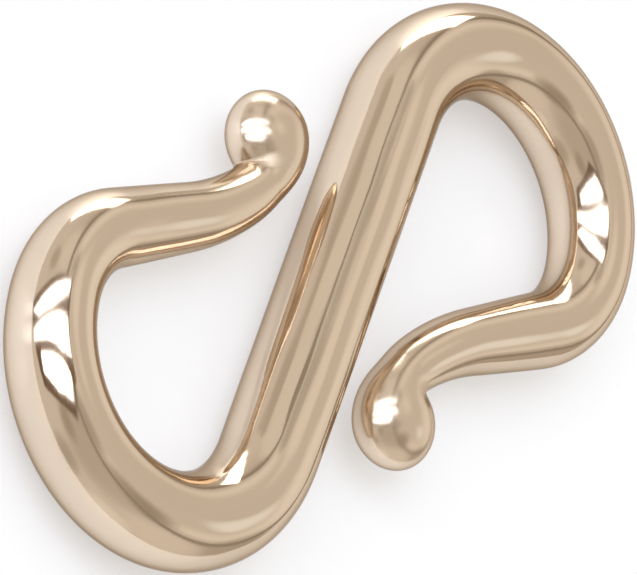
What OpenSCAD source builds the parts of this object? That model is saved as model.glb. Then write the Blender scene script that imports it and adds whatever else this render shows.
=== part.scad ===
// S-hook clasp, a jewellery finding bent from one length of round, polished wire.
// Two open loops mirror each other about the middle of a thick straight bar.
// From each loop a thinner arm swings back over the bar and curls away from it
// into a ball, so that a ring or a chain's last link slips in and stays in.
// Each ball is a little flatter than it is wide.
// The clasp lies flat: its centreline is in one level plane, half a bar above z = 0.

/* [Bend of the wire] */
// Half the length of the straight bar
half_bar = 3.25; // [2.8:0.05:4]
// Radius of each loop, to the middle of the wire
loop_r = 2.35; // [2.2:0.05:3]
// How far each loop turns
loop_turn = 172; // [166:1:176]
// Radius of the closer bend that leads from the loop into the arm
shoulder_r = 1.8; // [1.5:0.05:2.2]
// How far that closer bend turns
shoulder_turn = 56; // [50:1:60]
// Straight stretch of the arm
arm = 1.45; // [1.2:0.05:1.8]
// Radius of the gentle bend the other way, where the arm leaves the bar
sweep_r = 4.65; // [4:0.05:6]
// How far that gentle bend turns
sweep_turn = 21; // [16:1:25]

/* [Thickness of the wire] */
// Diameter in the middle of the bar
bar_d = 1.54; // [1.2:0.02:1.7]
// Diameter at the neck, just before the ball
neck_d = 0.88; // [0.7:0.02:1]
// How late the wire thins: a higher value keeps it full for longer
taper = 3; // [2:0.25:4]

/* [Ball tips] */
// Diameter of the ball, seen from above
ball_d = 1.5; // [1.2:0.02:1.6]
// Height of the ball
ball_h = 1.1; // [0.9:0.02:1.4]
// How far the neck folds over before the ball
fold_turn = 90; // [80:1:100]
// Radius left in the crease on the inside of the fold
crease_r = 0.02; // [0.01:0.01:0.1]

/* [Placing] */
// Angle from the clasp's long axis to the bar
lean = 36; // [0:0.5:90]

/* [Smoothness] */
// Sides of the round wire
sides = 28; // [16:4:40]
// Angle between neighbouring rings in a bend
ring_step = 7; // [6:1:12]

/* [Hidden] */

neck_r = neck_d / 2;
ball_r = ball_d / 2;
polished_gold = [0.83, 0.71, 0.57];

// A pose is a place on the centreline: [x, y, heading in degrees, wire travelled].

// The pose a straight stretch further on
function ahead(p, length) =
    [p.x + length * cos(p[2]), p.y + length * sin(p[2]), p[2], p[3] + length];

// The pose after an arc, anticlockwise for a positive turn
function around(p, r, turn) =
    let (out = r * sign(turn), h = p[2] + turn)
    [
        p.x + out * (sin(h) - sin(p[2])),
        p.y + out * (cos(p[2]) - cos(h)),
        h,
        p[3] + r * abs(turn) * PI / 180
    ];

// Where each stretch ends, from the middle of the bar outwards
middle = [0, 0, 0, 0];
bar_end = ahead(middle, half_bar);
loop_end = around(bar_end, loop_r, -loop_turn);
shoulder_end = around(loop_end, shoulder_r, -shoulder_turn);
arm_end = ahead(shoulder_end, arm);
neck = around(arm_end, sweep_r, sweep_turn);

// Fractions from 0 up to, but not including, 1
function fractions(count) = [for (i = [0 : count - 1]) i / count];

// Rings that an arc needs
function arc_rings(turn) = ceil(turn / ring_step);

// The wire's radius after a length of travel from the middle
function wire_r(travelled) =
    bar_d / 2 - (bar_d / 2 - neck_r) * pow(travelled / neck[3], taper);

// A ring is [x, y, heading, half its width, half its height].
function wire_ring(p) = [p.x, p.y, p[2], wire_r(p[3]), wire_r(p[3])];

straight_rings = 4;
half_wire = [
    for (f = fractions(straight_rings)) wire_ring(ahead(middle, half_bar * f)),
    for (f = fractions(arc_rings(loop_turn))) wire_ring(around(bar_end, loop_r, -loop_turn * f)),
    for (f = fractions(arc_rings(shoulder_turn)))
        wire_ring(around(loop_end, shoulder_r, -shoulder_turn * f)),
    for (f = fractions(straight_rings)) wire_ring(ahead(shoulder_end, arm * f)),
    for (f = fractions(arc_rings(sweep_turn))) wire_ring(around(arm_end, sweep_r, sweep_turn * f))
];

// The fold: rings fan out about an upright line just off the inside of the neck,
// and swell from the neck's size to the ball's.
function swell(f, from, to) = from + (to - from) * f * f * (3 - 2 * f);
crease = [
    neck.x - (neck_r + crease_r) * sin(neck[2]),
    neck.y + (neck_r + crease_r) * cos(neck[2])
];
function fold_ring(f) =
    let (r = swell(f, neck_r, ball_r), h = neck[2] + fold_turn * f)
    [
        crease.x + (r + crease_r) * sin(h),
        crease.y - (r + crease_r) * cos(h),
        h,
        r,
        swell(f, neck_r, ball_h / 2)
    ];
fold = [for (f = fractions(arc_rings(fold_turn))) fold_ring(f)];

// The ball's far half, as rings that shrink towards its tip
ball = fold_ring(1);
function cap_ring(angle) =
    [
        ball.x + ball_r * sin(angle) * cos(ball[2]),
        ball.y + ball_r * sin(angle) * sin(ball[2]),
        ball[2],
        ball_r * cos(angle),
        ball_h / 2 * cos(angle)
    ];
cap_rings = 7;
cap = [for (f = fractions(cap_rings)) cap_ring(90 * f)];
tip = cap_ring(90);

// One half is the other turned half a turn about the middle of the bar, so the
// ring there comes once, and its heading stays.
half = concat(half_wire, fold, cap);
function turned(r) = [-r.x, -r.y, r[2], r[3], r[4]];
rings = concat([for (i = [len(half) - 1 : -1 : 1]) turned(half[i])], half);

// The points of a ring stand upright, square to its heading
function ring_points(r) =
    [
        for (f = fractions(sides))
            let (a = 360 * f)
            [r.x - r[3] * cos(a) * sin(r[2]), r.y + r[3] * cos(a) * cos(r[2]), r[4] * sin(a)]
    ];

// Skin of a closed tube through rings, with one point at each end
module skin(rings, first, last) {
    points = concat([first], [for (r = rings) each ring_points(r)], [last]);
    end = len(points) - 1;
    function at(i, j) = 1 + i * sides + j % sides;
    faces = [
        for (j = [0 : sides - 1]) [0, at(0, j), at(0, j + 1)],
        for (i = [0 : len(rings) - 2], j = [0 : sides - 1])
            each [
                [at(i, j), at(i + 1, j), at(i, j + 1)],
                [at(i, j + 1), at(i + 1, j), at(i + 1, j + 1)]
            ],
        for (j = [0 : sides - 1]) [end, at(len(rings) - 1, j + 1), at(len(rings) - 1, j)]
    ];
    polyhedron(points = points, faces = faces);
}

module s_hook() {
    color(polished_gold)
        translate([0, 0, bar_d / 2])
            rotate(lean)
                skin(rings, [-tip.x, -tip.y, 0], [tip.x, tip.y, 0]);
}

s_hook();
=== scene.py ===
# %% [markdown]
# # An S-hook clasp in polished rose gold
#
# This clasp closes a necklace or a bracelet. It is one length of round wire: a thick straight bar,
# an open loop at each end, and from each loop a thinner arm that swings back over the bar and
# curls up into a ball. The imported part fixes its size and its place, and this script dresses it.
# A polished metal shows little but what stands around it, so half of the work is the wire's
# smooth skin and the other half is the light.

# %% Load the fixed frame
import math
from collections import namedtuple

import bmesh
import bpy
from mathutils import Matrix, Vector


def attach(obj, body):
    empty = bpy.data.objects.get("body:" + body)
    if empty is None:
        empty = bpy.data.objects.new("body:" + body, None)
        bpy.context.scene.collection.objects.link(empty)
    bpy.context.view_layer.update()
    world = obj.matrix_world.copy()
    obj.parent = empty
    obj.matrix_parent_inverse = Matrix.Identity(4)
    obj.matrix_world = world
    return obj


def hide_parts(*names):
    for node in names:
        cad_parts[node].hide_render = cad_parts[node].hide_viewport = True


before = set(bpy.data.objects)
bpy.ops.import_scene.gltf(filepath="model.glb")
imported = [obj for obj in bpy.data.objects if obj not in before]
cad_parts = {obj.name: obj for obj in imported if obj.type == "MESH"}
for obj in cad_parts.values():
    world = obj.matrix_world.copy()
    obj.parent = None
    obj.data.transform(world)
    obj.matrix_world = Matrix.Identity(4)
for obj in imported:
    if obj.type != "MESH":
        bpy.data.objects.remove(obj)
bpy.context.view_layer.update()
print("packed solids:", list(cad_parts))

# %% [markdown]
# ## Lengths and colours
#
# Jewellery is measured in millimetres and Blender works in metres here, so every size of the
# clasp is written in millimetres and passes through one function, and a second one turns a length
# back. The few large sizes of the room are in metres. Colours are written as a picture shows them,
# in sRGB, and a third function turns them to the linear light that shaders calculate with.


# %% Millimetres and colours
def mm(value):
    """A length in metres, from millimetres"""
    return value * 0.001


def in_mm(length):
    """A length in millimetres, from metres"""
    return length * 1000


def linear(hex_colour):
    """Linear RGBA for a shader, from an sRGB colour such as #C8AF91"""
    channels = [int(hex_colour[i:i + 2], 16) / 255 for i in (1, 3, 5)]
    curve = [c / 12.92 if c <= 0.04045 else ((c + 0.055) / 1.055) ** 2.4 for c in channels]
    return (*curve, 1.0)


print(f"the mid grey #808080 holds {linear('#808080')[0]:.3f} of white's light")

# %% [markdown]
# ## The bends of the wire
#
# A bench jeweller bends such a clasp with round pliers, so its centreline is made of arcs and
# straight stretches and nothing else. A short table holds them, from the middle of the bar to
# the neck, where the wire is folded over. The last three bends tighten step by step, because
# metal next to a fold is drawn into it.

# %% Driving sizes of the wire
STRAIGHT_RINGS = 16

Stretch = namedtuple("Stretch", "name length turn rings")


def arc(name, radius, degrees):
    """A bend of that radius, to the left for a positive angle, with a ring at each degree"""
    turn = math.radians(degrees)
    return Stretch(name, radius * abs(turn), turn, round(abs(degrees)))


HALF_WIRE = [
    Stretch("bar", mm(3.25), 0, STRAIGHT_RINGS),
    arc("loop", mm(2.35), -172),
    arc("shoulder", mm(1.8), -56),
    Stretch("arm", mm(1.588), 0, STRAIGHT_RINGS),
    arc("sweep", mm(4.65), 15.5),
    arc("tuck", mm(2.4), 5),
    arc("tighter tuck", mm(1.3), 5),
    arc("tightest tuck", mm(0.8), 6),
]
BAR_R = mm(1.54) / 2
NECK_R = mm(0.85) / 2
TAPER = 3
LEAN = math.radians(36)

WIRE_LENGTH = sum(stretch.length for stretch in HALF_WIRE)
for name, length, turn, _ in HALF_WIRE:
    print(f"{name}: {in_mm(length):.2f} mm, {math.degrees(turn):.1f} degrees")

# %% [markdown]
# ## The thickness of the wire
#
# The bar is the thickest part, and the wire thins from it towards the neck. It ends in a ball,
# melted from its tip. It doesn't swell evenly towards the ball: it keeps its thickness into the
# fold and then grows quickly, and the ball is almost a third flatter than it is wide, like one
# that was pressed in the bending tool. So two functions add up: one thins the wire along its
# whole length, and one swells it late, from just before the neck.

# %% Thinning and swelling
BALL_R = mm(1.5) / 2
BALL_HALF_HEIGHT = mm(1.03) / 2
FOLD_TURN = math.radians(80.5)
FOLD_LENGTH = FOLD_TURN * (NECK_R + BALL_R) / 2
SWELL_BEFORE_NECK = mm(0.2)
SWELL_START = WIRE_LENGTH - SWELL_BEFORE_NECK
SWELL_END = WIRE_LENGTH + FOLD_LENGTH


def thinned(along):
    """The wire stays full through the bar, thins towards the neck, and levels out in the fold"""
    if along < WIRE_LENGTH:
        return BAR_R - (BAR_R - NECK_R) * (along / WIRE_LENGTH) ** TAPER
    slope = -TAPER * (BAR_R - NECK_R) / WIRE_LENGTH
    left = 1 - (along - WIRE_LENGTH) / FOLD_LENGTH
    return NECK_R + slope * FOLD_LENGTH * (1 - left**3) / 3


def swollen(along, last):
    """The same with the swelling that ends in the ball, at the last size"""
    part = max(0, (along - SWELL_START) / (SWELL_END - SWELL_START))
    return thinned(along) + (last - thinned(SWELL_END)) * part**3 * (4 - 3 * part)


for part in (0, 0.5, 1):
    width = 2 * swollen(WIRE_LENGTH * part, BALL_R)
    print(f"width after {part:.0%} of the wire: {in_mm(width):.2f} mm")

# %% [markdown]
# ## Rings along the wire
#
# The skin will be drawn through rings, like the hoops of a tunnel. Each ring needs a pose on the
# centreline: a matrix whose origin is on the line, whose X axis points along the wire and whose
# Z axis points up. One function walks any stretch, because a straight one is an arc that doesn't
# turn.

# %% Walk along the wire
Ring = namedtuple("Ring", "pose radius half_height along")


def walk(pose, length, turn):
    """The pose after a stretch of that length, which bends evenly by that turn"""
    if turn == 0:
        step = Vector((length, 0, 0))
    else:
        radius = length / turn
        step = Vector((radius * math.sin(turn), radius * (1 - math.cos(turn)), 0))
    return pose @ Matrix.Translation(step) @ Matrix.Rotation(turn, 4, "Z")


rings = []
along = 0.0
pose = Matrix.Translation((0, 0, BAR_R)) @ Matrix.Rotation(LEAN, 4, "Z")
for stretch in HALF_WIRE:
    for i in range(stretch.rings):
        part = i / stretch.rings
        here = along + stretch.length * part
        there = walk(pose, stretch.length * part, stretch.turn * part)
        rings.append(Ring(there, swollen(here, BALL_R), swollen(here, BALL_HALF_HEIGHT), here))
    pose = walk(pose, stretch.length, stretch.turn)
    along += stretch.length
neck = pose
print(f"{len(rings)} rings up to the neck, {in_mm(along):.2f} mm from the middle")

# %% [markdown]
# ## The fold
#
# At the neck the wire is folded over tightly. The inside of such a fold is a crease, not an arc,
# so the rings here don't follow a centreline: they fan out about an upright line just off the
# inside of the neck, like the pages of a book, and they swell as they go. The last ring is the
# ball's widest circle.

# %% Rings of the fold
CREASE_R = mm(0.02)
FOLD_RINGS = 56

spine = neck @ Matrix.Translation((0, swollen(WIRE_LENGTH, BALL_R) + CREASE_R, 0))


def fold_ring(part):
    """A ring of the fold, from the neck at 0 to the ball's widest circle at 1"""
    here = WIRE_LENGTH + FOLD_LENGTH * part
    radius = swollen(here, BALL_R)
    turned = spine @ Matrix.Rotation(FOLD_TURN * part, 4, "Z")
    pose = turned @ Matrix.Translation((0, -radius - CREASE_R, 0))
    return Ring(pose, radius, swollen(here, BALL_HALF_HEIGHT), here)


rings += [fold_ring(i / FOLD_RINGS) for i in range(FOLD_RINGS)]
print(f"{len(rings)} rings up to the ball's widest circle")

# %% [markdown]
# ## The ball
#
# The ball's far half is round, so from its widest circle on, rings that shrink along its axis
# close it. Their steps are equal in angle, which puts them closer together towards the tip,
# where the surface turns away fastest.

# %% Rings of the ball
CAP_RINGS = 26

ball = fold_ring(1)
for i in range(CAP_RINGS):
    angle = math.pi / 2 * i / CAP_RINGS
    reach = BALL_R * math.sin(angle)
    left = math.cos(angle)
    moved = ball.pose @ Matrix.Translation((reach, 0, 0))
    rings.append(Ring(moved, BALL_R * left, BALL_HALF_HEIGHT * left, ball.along + reach))
tip = ball.pose @ Vector((BALL_R, 0, 0))
print(f"{len(rings)} rings in each half, tip at {[round(in_mm(c), 2) for c in tip]} mm")

# %% [markdown]
# ## The skin
#
# A curve with a bevel could draw this wire, but not the crease, where its rings would pass
# through each other. So the skin is extruded ring by ring: a circle is extruded once for each
# ring, and the new circle is carried from the last ring's pose and size to the next one's. The
# last ring of all is merged into one point. Each point remembers where on the wire it is, in a
# vector attribute: its distance from the middle of the bar in millimetres, and the cosine and
# sine of its angle round the wire, so that a pattern can follow the wire without a seam.

# %% Extrude one half
SIDES = 80

clasp_bm = bmesh.new()
place = clasp_bm.verts.layers.float_vector.new("wire_place")
matt = clasp_bm.verts.layers.float.new("matt_crease")


def ring_matrix(ring):
    """Carries a circle of radius 1 about X to the ring's place and size"""
    return ring.pose @ Matrix.Diagonal((ring.radius, ring.radius, ring.half_height, 1))


upright = Matrix.Rotation(math.pi / 2, 4, "Y")
circle = bmesh.ops.create_circle(clasp_bm, segments=SIDES, radius=1, matrix=upright)["verts"]
for v in circle:
    v[place] = (0, v.co.y, v.co.z)
bmesh.ops.transform(clasp_bm, matrix=ring_matrix(rings[0]), verts=circle)
edges = list(clasp_bm.edges)
for last, ring in zip(rings, rings[1:]):
    made = bmesh.ops.extrude_edge_only(clasp_bm, edges=edges)["geom"]
    verts = [g for g in made if isinstance(g, bmesh.types.BMVert)]
    fresh = set(verts)
    edges = [g for g in made if isinstance(g, bmesh.types.BMEdge) and set(g.verts) <= fresh]
    carry = ring_matrix(ring) @ ring_matrix(last).inverted()
    bmesh.ops.transform(clasp_bm, matrix=carry, verts=verts)
    for v in verts:
        v[place] = (in_mm(ring.along), v[place].y, v[place].z)
bmesh.ops.pointmerge(clasp_bm, verts=verts, merge_co=tip)
print(f"half a skin: {len(clasp_bm.verts)} points, {len(clasp_bm.faces)} faces")

# %% [markdown]
# ## The other half
#
# The clasp looks the same after half a turn, so the second half is a copy of the first, turned
# about the middle of the bar. A mirror image would be wrong: it would bend the loop to the other
# side and make a C of the S. The two halves share the middle ring, whose points are merged.

# %% Turn a copy
MERGE_DISTANCE = mm(0.001)

half_geometry = clasp_bm.verts[:] + clasp_bm.edges[:] + clasp_bm.faces[:]
copied = bmesh.ops.duplicate(clasp_bm, geom=half_geometry)["geom"]
copied_verts = [g for g in copied if isinstance(g, bmesh.types.BMVert)]
half_turn = Matrix.Rotation(math.pi, 3, "Z")
bmesh.ops.rotate(clasp_bm, cent=(0, 0, 0), matrix=half_turn, verts=copied_verts)
for v in copied_verts:
    v[place] = (-v[place].x, -v[place].y, v[place].z)
middle_ring = [v for v in clasp_bm.verts if v[place].x == 0]
bmesh.ops.remove_doubles(clasp_bm, verts=middle_ring, dist=MERGE_DISTANCE)
bmesh.ops.recalc_face_normals(clasp_bm, faces=clasp_bm.faces)
open_edges = sum(not e.is_manifold for e in clasp_bm.edges)
print(f"skin: {len(clasp_bm.verts)} points, {len(clasp_bm.faces)} faces, {open_edges} open edges")

# %% [markdown]
# ## The crease
#
# Folding squeezes the metal on the inside of the bend, so the crease lies a little deeper than
# rings alone would draw it, and no polishing mop reaches its bottom, which stays matt. Both come
# from one number for each point: its share of the crease, from 1 at the bottom to 0 outside the
# fold. The points are pressed towards the wire's middle plane by that share. The square root of
# a second share, which starts further out, is kept in an attribute for the finish.

# %% Press the crease
CREASE_DEPTH = 0.12
CREASE_START = 0.45
MATT_START = -0.1


def crease_share(v, start):
    """1 at the bottom of the crease, 0 outside the fold and where the wire faces away from it"""
    part = (mm(abs(v[place].x)) - WIRE_LENGTH) / FOLD_LENGTH
    lengthwise = max(0, 1 - abs(2 * part - 1))
    inner = v[place].y * math.copysign(1, v[place].x)
    inwards = max(0, inner - start) / (1 - start)
    return lengthwise**2 * inwards**2 * (3 - 2 * inwards)


pressed = [v for v in clasp_bm.verts if crease_share(v, CREASE_START) > 0]
for v in pressed:
    v.co.z = BAR_R + (v.co.z - BAR_R) * (1 - CREASE_DEPTH * crease_share(v, CREASE_START))
for v in clasp_bm.verts:
    v[matt] = math.sqrt(crease_share(v, MATT_START))
print(f"pressed {len(pressed)} points of the two creases")

# %% [markdown]
# ## The clasp as an object
#
# The mesh already lies in its place, so its object stays at the origin. It rides on the part's
# one body, and it stands for the part's one solid, whose flat facets would show in a mirror.


# %% Make the clasp's object
def object_from(bm, name):
    """An object of that name in the scene, made from a bmesh, which is freed"""
    mesh = bpy.data.meshes.new(name)
    bm.to_mesh(mesh)
    bm.free()
    made = bpy.data.objects.new(name, mesh)
    bpy.context.scene.collection.objects.link(made)
    return made


clasp = object_from(clasp_bm, "clasp_skin")
clasp.data.shade_smooth()
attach(clasp, "root")
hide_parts("s_hook")
print("clasp, mm:", [round(in_mm(side), 2) for side in clasp.dimensions])

# %% [markdown]
# ## Nodes
#
# A material is a graph of small nodes. Each one is added in the same way: it gets its settings,
# its input values and its links, and one function does all three.


# %% Node helper
def add(tree, kind, links=None, **settings):
    """Adds a node, sets its fields and input values, and links inputs to other nodes' outputs"""
    node = tree.nodes.new(kind)
    for name, value in settings.items():
        setattr(node, name, value)
    for socket, source in (links or {}).items():
        if isinstance(source, bpy.types.NodeSocket):
            tree.links.new(source, node.inputs[socket])
        else:
            node.inputs[socket].default_value = source
    return node


gold = bpy.data.materials.new("polished_rose_gold")
gold.use_nodes = True
tree = gold.node_tree
gold_shader = tree.nodes["Principled BSDF"]
print("the gold starts from", [node.name for node in tree.nodes])

# %% [markdown]
# ## Polished gold
#
# The metal is gold-filled brass: a skin of rose-tinted gold alloy, rolled, drawn and polished to
# a mirror. A metal's base colour is what a white sheet would look like in it, and the tan that
# the eye sees is that colour times the pale grey room. At its rims the clasp looks darker and
# greyer than face on, and the shader's tint for slanting light gives that.

# %% Colour of the gold
GOLD_MIRROR = "#E1D0BC"
GOLD_EDGE = "#B9ADA0"

gold_shader.inputs["Metallic"].default_value = 1.0
gold_shader.inputs["Base Color"].default_value = linear(GOLD_MIRROR)
gold_shader.inputs["Specular Tint"].default_value = linear(GOLD_EDGE)
print("mirror colour, linear:", [round(c, 3) for c in linear(GOLD_MIRROR)[:3]])

# %% [markdown]
# ## Draw lines
#
# The draw plate leaves lines along the wire, and on the bar, which no plier has touched, they
# last the longest. They are noise that is stretched along the wire's own coordinates, and they
# fade from the bar's end into the loop. The cosine and sine of the angle are multiplied by the
# wire's mean radius, so that the pattern is in millimetres round the wire too.

# %% Lines of the draw plate
DRAW_LINE_WIDTH = mm(0.3)
DRAW_LINE_STRETCH = 16
DRAW_LINE_HEIGHT = mm(0.018)
DRAW_LINES_FADE = (mm(3.0), mm(4.6))
DRAW_LINES_ON_LOOPS = 0.12
MEAN_RADIUS = mm(0.7)

wire_place = add(tree, "ShaderNodeAttribute", attribute_name="wire_place").outputs["Vector"]
squeeze = (1 / DRAW_LINE_STRETCH, in_mm(MEAN_RADIUS), in_mm(MEAN_RADIUS))
squeezed = add(tree, "ShaderNodeVectorMath", {0: wire_place, 1: squeeze}, operation="MULTIPLY")
fine = {"Vector": squeezed.outputs[0], "Scale": 1 / in_mm(DRAW_LINE_WIDTH), "Detail": 2}
lines = add(tree, "ShaderNodeTexNoise", fine)
along_wire = add(tree, "ShaderNodeSeparateXYZ", {0: wire_place}).outputs["X"]
from_middle = add(tree, "ShaderNodeMath", {0: along_wire}, operation="ABSOLUTE").outputs[0]
fade = {
    "Value": from_middle,
    "From Min": in_mm(DRAW_LINES_FADE[0]),
    "From Max": in_mm(DRAW_LINES_FADE[1]),
    "To Min": 1,
    "To Max": DRAW_LINES_ON_LOOPS,
}
on_bar = add(tree, "ShaderNodeMapRange", fade, interpolation_type="SMOOTHSTEP").outputs[0]
line_length = DRAW_LINE_WIDTH * DRAW_LINE_STRETCH
print(f"draw lines {in_mm(DRAW_LINE_WIDTH):.1f} mm wide and {in_mm(line_length):.1f} mm long")

# %% [markdown]
# ## Waves and dimples
#
# Hand-bent wire is never quite even. Bending and polishing leave shallow waves of a millimetre or
# two, which make the reflections swim. Tumbling with steel shot adds fine dimples. They are drawn
# a tenth of a millimetre wide, coarser than real ones, so that they break the mirror's sharpness
# at all. Neither pattern follows the wire, so both are noise in plain object coordinates.

# %% Noise for waves and dimples
WAVE_SIZE = mm(1.5)
WAVE_HEIGHT = mm(0.05)
DIMPLE_SIZE = mm(0.12)
DIMPLE_HEIGHT = mm(0.0005)

metres = add(tree, "ShaderNodeTexCoord").outputs["Object"]
waves = add(tree, "ShaderNodeTexNoise", {"Vector": metres, "Scale": 1 / WAVE_SIZE, "Detail": 0})
dimples = add(tree, "ShaderNodeTexNoise", {"Vector": metres, "Scale": 1 / DIMPLE_SIZE, "Detail": 1})
print(f"{len(tree.nodes)} nodes so far")

# %% [markdown]
# ## Bumps
#
# Each trace tilts the mirror a little without moving the surface, which is enough for marks that
# are far shallower than the wire is thick. A bump node takes the normal of the one before it, so
# the three add up: waves first, then draw lines, then dimples.

# %% Stack the bumps
wave = {"Height": waves.outputs[0], "Distance": WAVE_HEIGHT, "Strength": 1}
normal = add(tree, "ShaderNodeBump", wave).outputs[0]
line = {"Height": lines.outputs[0], "Distance": DRAW_LINE_HEIGHT, "Strength": on_bar, "Normal": normal}
normal = add(tree, "ShaderNodeBump", line).outputs[0]
dimple = {"Height": dimples.outputs[0], "Distance": DIMPLE_HEIGHT, "Strength": 1, "Normal": normal}
normal = add(tree, "ShaderNodeBump", dimple).outputs[0]
tree.links.new(normal, gold_shader.inputs["Normal"])
heights = (WAVE_HEIGHT, DRAW_LINE_HEIGHT, DIMPLE_HEIGHT)
print("heights of the three bumps, mm:", [round(in_mm(height), 4) for height in heights])

# %% [markdown]
# ## Roughness
#
# The crests of the waves take most of the wear, so they are a little duller than the hollows, and
# the same noise drives both. A melted ball has a coarser grain than drawn wire, so from just
# before the neck the mirror grows softer, and the window's three panes run together on the ball.
# In the creases the roughness climbs to that of unpolished metal.

# %% Wear, soft balls and matt creases
POLISHED = 0.07
WORN = 0.12
HOLLOW_TO_CREST = (0.3, 0.7)
SOFT_BALL = 0.2
SOFTER_BEFORE_NECK = mm(1.2)
UNPOLISHED = 0.5
CREASE_RIM_TO_BOTTOM = (0.1, 0.7)

wear = {
    "Value": waves.outputs[0],
    "From Min": HOLLOW_TO_CREST[0],
    "From Max": HOLLOW_TO_CREST[1],
    "To Min": POLISHED,
    "To Max": WORN,
}
worn = add(tree, "ShaderNodeMapRange", wear).outputs[0]
to_ball = {
    "Value": from_middle,
    "From Min": in_mm(WIRE_LENGTH - SOFTER_BEFORE_NECK),
    "From Max": in_mm(SWELL_END),
    "To Min": worn,
    "To Max": SOFT_BALL,
}
softer = add(tree, "ShaderNodeMapRange", to_ball, interpolation_type="SMOOTHSTEP").outputs[0]
crease = add(tree, "ShaderNodeAttribute", attribute_name="matt_crease").outputs["Fac"]
dull = {
    "Value": crease,
    "From Min": CREASE_RIM_TO_BOTTOM[0],
    "From Max": CREASE_RIM_TO_BOTTOM[1],
    "To Min": softer,
    "To Max": UNPOLISHED,
}
rough = add(tree, "ShaderNodeMapRange", dull, interpolation_type="SMOOTHSTEP").outputs[0]
tree.links.new(rough, gold_shader.inputs["Roughness"])
clasp.data.materials.append(gold)
print(f"{len(tree.nodes)} nodes make the gold")

# %% [markdown]
# ## The floor
#
# Small polished goods are often photographed on a sheet of white acrylic that is lit a little
# from below, so that shadows almost vanish. Here it is one square, much larger than the clasp,
# whose paint also glows softly. The clasp mirrors it along its lower sides.

# %% Floor
FLOOR_HALF_SIZE = 0.9
FLOOR_PAINT = "#CDD1D6"
FLOOR_ROUGHNESS = 0.3
FLOOR_LIGHT = "#FAFAFC"
FLOOR_GLOW = 0.39

floor_bm = bmesh.new()
bmesh.ops.create_grid(floor_bm, x_segments=1, y_segments=1, size=FLOOR_HALF_SIZE)
floor = object_from(floor_bm, "floor")
acrylic = bpy.data.materials.new("white_acrylic")
acrylic.use_nodes = True
acrylic_shader = acrylic.node_tree.nodes["Principled BSDF"]
acrylic_shader.inputs["Base Color"].default_value = linear(FLOOR_PAINT)
acrylic_shader.inputs["Roughness"].default_value = FLOOR_ROUGHNESS
acrylic_shader.inputs["Emission Color"].default_value = linear(FLOOR_LIGHT)
acrylic_shader.inputs["Emission Strength"].default_value = FLOOR_GLOW
floor.data.materials.append(acrylic)
print(f"floor {2 * FLOOR_HALF_SIZE:.1f} m wide")

# %% [markdown]
# ## Directions
#
# What a mirror shows depends on directions alone when the room is far larger than the mirror. So
# the tent, the window and the soft box are placed by two angles, as stars are: an azimuth, which
# is counted from the +X axis towards +Y, and an elevation above the floor.


# %% Directions from two angles
def towards(azimuth, elevation):
    """A unit vector from the clasp, with both angles in degrees"""
    a, e = math.radians(azimuth), math.radians(elevation)
    return Vector((math.cos(e) * math.cos(a), math.cos(e) * math.sin(a), math.sin(e)))


print("halfway up along +Y is", [round(c, 2) for c in towards(90, 45)])

# %% [markdown]
# ## The light tent
#
# Around the clasp stands a tent of pale cloth, as photographers use for jewellery, and the broad
# bands on the metal are its walls. It could be modelled, but nothing of it is seen directly, so
# its tones are laid on the world as rings about the middle of its opening. Every ring is an angle
# from that middle and the tone there.

# %% Rings of the tent
TENT_MIDDLE = (166, 50)
TENT_OPENING = 48
HOOP_AT = TENT_OPENING + 1.5
TENT_TONES = [
    (0, "#DCD3C8"),
    (TENT_OPENING - 22, "#DDD5CA"),
    (TENT_OPENING - 9, "#F3EBE0"),
    (TENT_OPENING - 3, "#DDD5CA"),
    (HOOP_AT, "#C2B7AA"),
    (TENT_OPENING + 5, "#C4BAAD"),
    (TENT_OPENING + 11, "#D5CCC1"),
    (TENT_OPENING + 30, "#E0D8CE"),
]

world = bpy.data.worlds.new("room")
bpy.context.scene.world = world
world.use_nodes = True
room = world.node_tree
direction = add(room, "ShaderNodeTexCoord").outputs["Generated"]
both = {0: direction, 1: towards(*TENT_MIDDLE)}
cosine = add(room, "ShaderNodeVectorMath", both, operation="DOT_PRODUCT").outputs["Value"]
from_tent_middle = add(room, "ShaderNodeMath", {0: cosine}, operation="ARCCOSINE").outputs[0]
half_turns = {0: from_tent_middle, 1: math.pi}
share = add(room, "ShaderNodeMath", half_turns, operation="DIVIDE").outputs[0]
ramp = add(room, "ShaderNodeValToRGB", {0: share})
ramp.color_ramp.interpolation = "EASE"
stops = ramp.color_ramp.elements
for stop, (degrees, tone) in zip(stops, (TENT_TONES[0], TENT_TONES[-1])):
    stop.position = degrees / 180
    stop.color = linear(tone)
for degrees, tone in TENT_TONES[1:-1]:
    stops.new(degrees / 180).color = linear(tone)
light_of_room = ramp.outputs["Color"]
print(f"{len(stops)} rings of tone in the tent")

# %% [markdown]
# ## Patches in the tent
#
# Cloth hangs unevenly, and a camera and its stand look in through the opening. Each of these is a
# round patch of another tone, laid over what is behind it, with soft edges. A patch needs only a
# direction, the angle where it is full, the angle where it ends and its tone. The side walls, the
# curtain and the lit cloth make the broad streaks on the bar.

# %% Lay the patches
PATCHES = [
    ("lit cloth", 161, 8, 11, 31, "#FFF9F1"),
    ("fold of cloth", 144, 37, 2, 11, "#FFFDFA"),
    ("dark opening", 93, 54, 2, 19, "#AEA293"),
    ("foot of the opening", 122, 8, 3, 18, "#C2B7AA"),
    ("front wall", 30, 52, 8, 38, "#C8BEB2"),
    ("far wall", 86, 17, 10, 26, "#E7DED3"),
    ("near wall", 57, 3, 4, 16, "#F3EBE0"),
    ("lens", 4, 43, 2, 13, "#B4A999"),
    ("stand", 20, 9, 3, 18, "#C0B5A8"),
    ("side wall", -106, 38, 6, 18, "#E9E1D6"),
    ("lit side wall", -165, 58, 2, 12, "#F3EBE0"),
    ("curtain", -89, 21, 2, 11, "#C4BAAD"),
    ("seam in the side wall", -131, 56, 1, 9, "#C6BEB2"),
    ("gap overhead", 60, 83, 2, 16, "#BDB2A6"),
]

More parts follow.
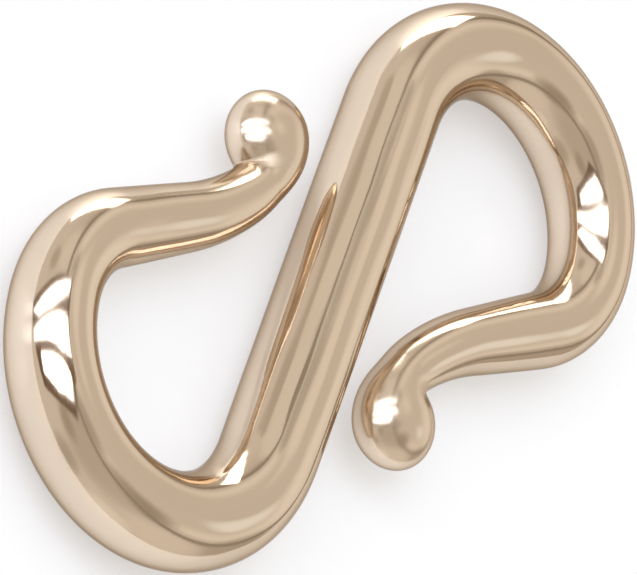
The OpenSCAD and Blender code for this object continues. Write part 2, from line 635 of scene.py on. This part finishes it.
for name, azimuth, elevation, inner, outer, tone in PATCHES:
    both = {0: direction, 1: towards(azimuth, elevation)}
    near = add(room, "ShaderNodeVectorMath", both, operation="DOT_PRODUCT").outputs["Value"]
    edge, full = math.cos(math.radians(outer)), math.cos(math.radians(inner))
    soft = {"Value": near, "From Min": edge, "From Max": full}
    amount = add(room, "ShaderNodeMapRange", soft, interpolation_type="SMOOTHSTEP").outputs[0]
    over = {"Factor": amount, "A": light_of_room, "B": linear(tone)}
    light_of_room = add(room, "ShaderNodeMix", over, data_type="RGBA").outputs["Result"]
    print(f"{name}: {2 * outer} degrees across")

# %% [markdown]
# ## The tent's hoop
#
# A springy hoop holds the tent's opening. The clasp draws it as one thin dark line all along the
# wire: it runs round both loops and outlines a tongue on the ball nearer to the camera. It is
# laid last, over the patches, wherever the angle from the opening's middle is the hoop's own.

# %% Lay the hoop
HOOP_CORE = math.radians(0.8)
HOOP_EDGE = math.radians(4)
HOOP_TONE = "#A1968A"

apart = {0: from_tent_middle, 1: math.radians(HOOP_AT)}
away = add(room, "ShaderNodeMath", apart, operation="SUBTRACT").outputs[0]
aside = add(room, "ShaderNodeMath", {0: away}, operation="ABSOLUTE").outputs[0]
thin = {"Value": aside, "From Min": HOOP_EDGE, "From Max": HOOP_CORE}
on_hoop = add(room, "ShaderNodeMapRange", thin, interpolation_type="SMOOTHSTEP").outputs[0]
over = {"Factor": on_hoop, "A": light_of_room, "B": linear(HOOP_TONE)}
light_of_room = add(room, "ShaderNodeMix", over, data_type="RGBA").outputs["Result"]
room.links.new(light_of_room, room.nodes["Background"].inputs["Color"])
print(f"{len(room.nodes)} nodes make the room")

# %% [markdown]
# ## Shapes around the clasp
#
# The window and the soft box have sharp outlines in the metal, so they are real shapes that stand
# in the room. Each needs a place: a matrix with its origin in the middle of the shape, whose X and
# Y axes lie in the shape's plane and whose Z axis points straight away from the clasp. A roll turns
# the shape in its plane.


# %% Places around the clasp
def facing(azimuth, elevation, distance, roll):
    """A place whose Z axis points away from the clasp and whose Y axis points up before the roll"""
    out = towards(azimuth, elevation)
    level = Vector((0, 0, 1)).cross(out).normalized()
    turn = Matrix((level, out.cross(level), out)).transposed().to_4x4()
    return Matrix.Translation(out * distance) @ turn @ Matrix.Rotation(math.radians(roll), 4, "Z")


example = facing(90, 45, 1, 0).translation
print("1 m away, halfway up along +Y, is", [round(c, 2) for c in example])

# %% [markdown]
# ## Flat shapes and their paints
#
# Each shape is one flat face, drawn by the angles of its corners as the clasp sees them. The
# camera doesn't see these shapes, and they aren't part of the object. Their paints can glow, which
# stands for the daylight or the lamp behind a cloth.


# %% Stage shapes and paints
def stage_shape(name, place, distance, corners, material):
    """A flat shape around the clasp, with its corners as angles in degrees"""
    bm = bmesh.new()
    across = [[math.tan(math.radians(angle)) * distance for angle in corner] for corner in corners]
    bm.faces.new([bm.verts.new(place @ Vector((x, y, 0))) for x, y in across])
    piece = object_from(bm, name)
    piece.data.materials.append(material)
    piece.visible_camera = False
    print(f"{name}: {len(corners)} corners")


def stage_paint(name, tone, glow=0):
    """A matt paint that may glow, where a glow of 1 is as bright as the picture's white"""
    paint = bpy.data.materials.new(name)
    paint.use_nodes = True
    shader = paint.node_tree.nodes["Principled BSDF"]
    shader.inputs["Base Color"].default_value = linear(tone)
    shader.inputs["Roughness"].default_value = 1.0
    shader.inputs["Specular IOR Level"].default_value = 0.0
    shader.inputs["Emission Color"].default_value = linear(tone)
    shader.inputs["Emission Strength"].default_value = glow
    return paint


print(f"10 degrees aside at a distance of 1 m is {math.tan(math.radians(10)):.3f} m")

# %% [markdown]
# ## The window
#
# The brightest marks on the clasp come in threes: three panes of a window between brown bars. The
# loops show it large, and each ball holds the whole window in a small bright patch. The panes are
# cut unevenly, since cloth hangs before them. They glow more than twice as bright as white, so
# that the gold's own tint can't dull them, and the frame is a brown card just behind them.

# %% Window
WINDOW_PLACE = (-47, 46)
WINDOW_DISTANCE = 0.25
WINDOW_ROLL = 12
DAYLIGHT = "#F4F8FF"
WINDOW_GLOW = 2.3
FRAME_BROWN = "#7A6450"
FRAME_GAP = mm(5)
PANES = {
    "left": [(-18, -42), (-9, -28), (-11, 5), (-20, 41), (-26, 41)],
    "middle": [(-4.5, -40), (5.5, -40), (4.5, 24), (-3, 45), (-12.5, 42)],
    "right": [(11.5, -27), (20.5, -27), (22, 0), (18, 27), (5, 36)],
}
FRAME = [(-27, -46), (28, -34), (28, 26), (7, 40), (-1, 47), (-28, 45)]

window = facing(*WINDOW_PLACE, WINDOW_DISTANCE, WINDOW_ROLL)
daylight = stage_paint("daylight", DAYLIGHT, WINDOW_GLOW)
for name, corners in PANES.items():
    stage_shape(f"window_pane_{name}", window, WINDOW_DISTANCE, corners, daylight)
behind = window @ Matrix.Translation((0, 0, FRAME_GAP))
stage_shape("window_frame", behind, WINDOW_DISTANCE, FRAME, stage_paint("brown_frame", FRAME_BROWN))

# %% [markdown]
# ## The soft box and the lamp
#
# A low soft box on the other side draws the long highlights on the loops' outer shoulders and the
# one on top of the upper ball. A broad lamp overhead only lightens the floor: it is hidden from
# mirror-like surfaces, so that the gold doesn't show it.

# %% Soft box and lamp
BOX_PLACE = (-131, 8)
BOX_DISTANCE = 0.3
BOX_ROLL = -30
BOX_LIGHT = "#FFFCF6"
BOX_GLOW = 2.4
BOX_CORNERS = [(-19, -8.5), (19, -8.5), (19, 8.5), (-19, 8.5)]
LAMP_HEIGHT = 0.4
LAMP_SIZE = 0.6
LAMP_BRIGHTNESS = 0.3

box = facing(*BOX_PLACE, BOX_DISTANCE, BOX_ROLL)
stage_shape("soft_box", box, BOX_DISTANCE, BOX_CORNERS, stage_paint("box_light", BOX_LIGHT, BOX_GLOW))

lamp_data = bpy.data.lights.new("overhead_lamp", "AREA")
lamp_data.size = LAMP_SIZE
lamp_data.energy = LAMP_BRIGHTNESS * math.pi * LAMP_SIZE**2
lamp = bpy.data.objects.new("overhead_lamp", lamp_data)
lamp.matrix_world = Matrix.Translation((0, 0, LAMP_HEIGHT))
lamp.visible_glossy = False
bpy.context.scene.collection.objects.link(lamp)
print(f"lamp of {lamp_data.energy:.2f} W")

# %% [markdown]
# ## The camera
#
# The photo looks down on the clasp's plane from 42 degrees, from near its +X end, with the
# camera rolled well over, so that the clasp stands across the picture. The lens is long, as for
# all close work on jewellery, and the picture is taken as 637 by 575 pixels. A camera looks along
# its own -Z axis, so the function that placed the window also places it. The plain view transform
# keeps the colours as they were mixed.

# %% Camera
PICTURE_WIDTH = 637
PIXELS_PER_MM = 66.54
CAMERA_PLACE = (-7.8, 42.2)
CAMERA_DISTANCE = mm(127)
CAMERA_ROLL = 74.7
CAMERA_NEAREST = mm(10)
SENSOR_WIDTH = 36
TARGET = Vector((mm(0.30), mm(0.01), BAR_R))

camera_data = bpy.data.cameras.new("camera")
camera_data.sensor_width = SENSOR_WIDTH
focal_pixels = PIXELS_PER_MM * in_mm(CAMERA_DISTANCE)
camera_data.lens = focal_pixels / PICTURE_WIDTH * SENSOR_WIDTH
camera_data.clip_start = CAMERA_NEAREST
camera = bpy.data.objects.new("camera", camera_data)
from_target = facing(*CAMERA_PLACE, CAMERA_DISTANCE, CAMERA_ROLL)
camera.matrix_world = Matrix.Translation(TARGET) @ from_target
bpy.context.scene.collection.objects.link(camera)
bpy.context.scene.camera = camera
bpy.context.scene.view_settings.view_transform = "Standard"
print(f"lens {camera_data.lens:.0f} mm")
